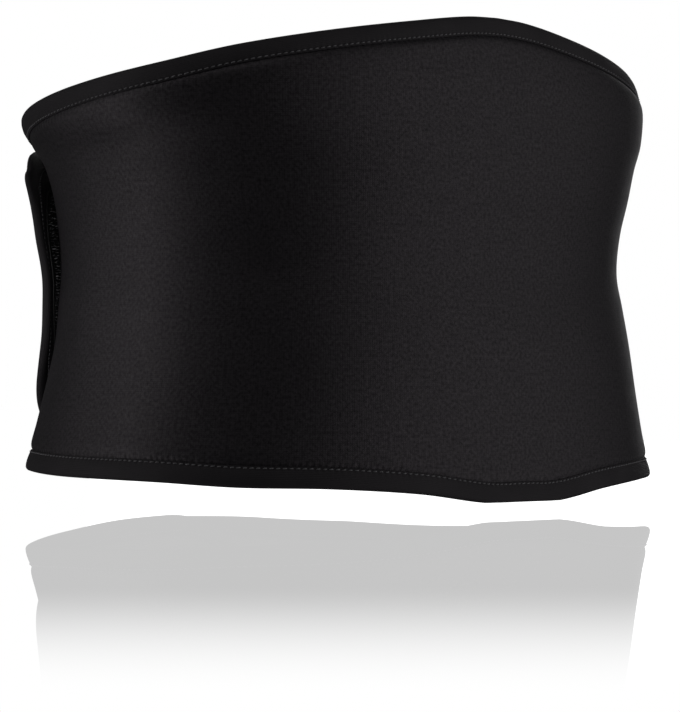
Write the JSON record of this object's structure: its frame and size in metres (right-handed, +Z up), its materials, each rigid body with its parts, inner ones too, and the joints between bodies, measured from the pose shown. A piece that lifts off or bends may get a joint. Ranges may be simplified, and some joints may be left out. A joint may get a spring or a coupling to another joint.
{
  "type": "back support belt",
  "caption": "Padded wrap belt for the lower back, taller at the spine, closed round the waist by a flap with hook tape, edges bound in tape.",
  "frame": {"origin": "under the middle of the belt's bounding box, on the surface that it stands on", "axes": "+Z up, +X to the wearer's right along the belt's width, +Y to the wearer's front"},
  "size_m": [0.3378, 0.258, 0.2296],
  "materials": {
    "neoprene": "black knit jersey laminated on foam rubber, matt with a faint sheen",
    "binding": "black knitted edge tape, matt",
    "hook": "black nylon hooks on a woven tape"
  },
  "bodies": {
    "root": {"neoprene_wrap": "neoprene", "top_binding": "binding", "bottom_binding": "binding", "flap_end_binding": "binding", "underlap_end_binding": "binding", "hook_tape": "hook"}
  },
  "joints": []
}
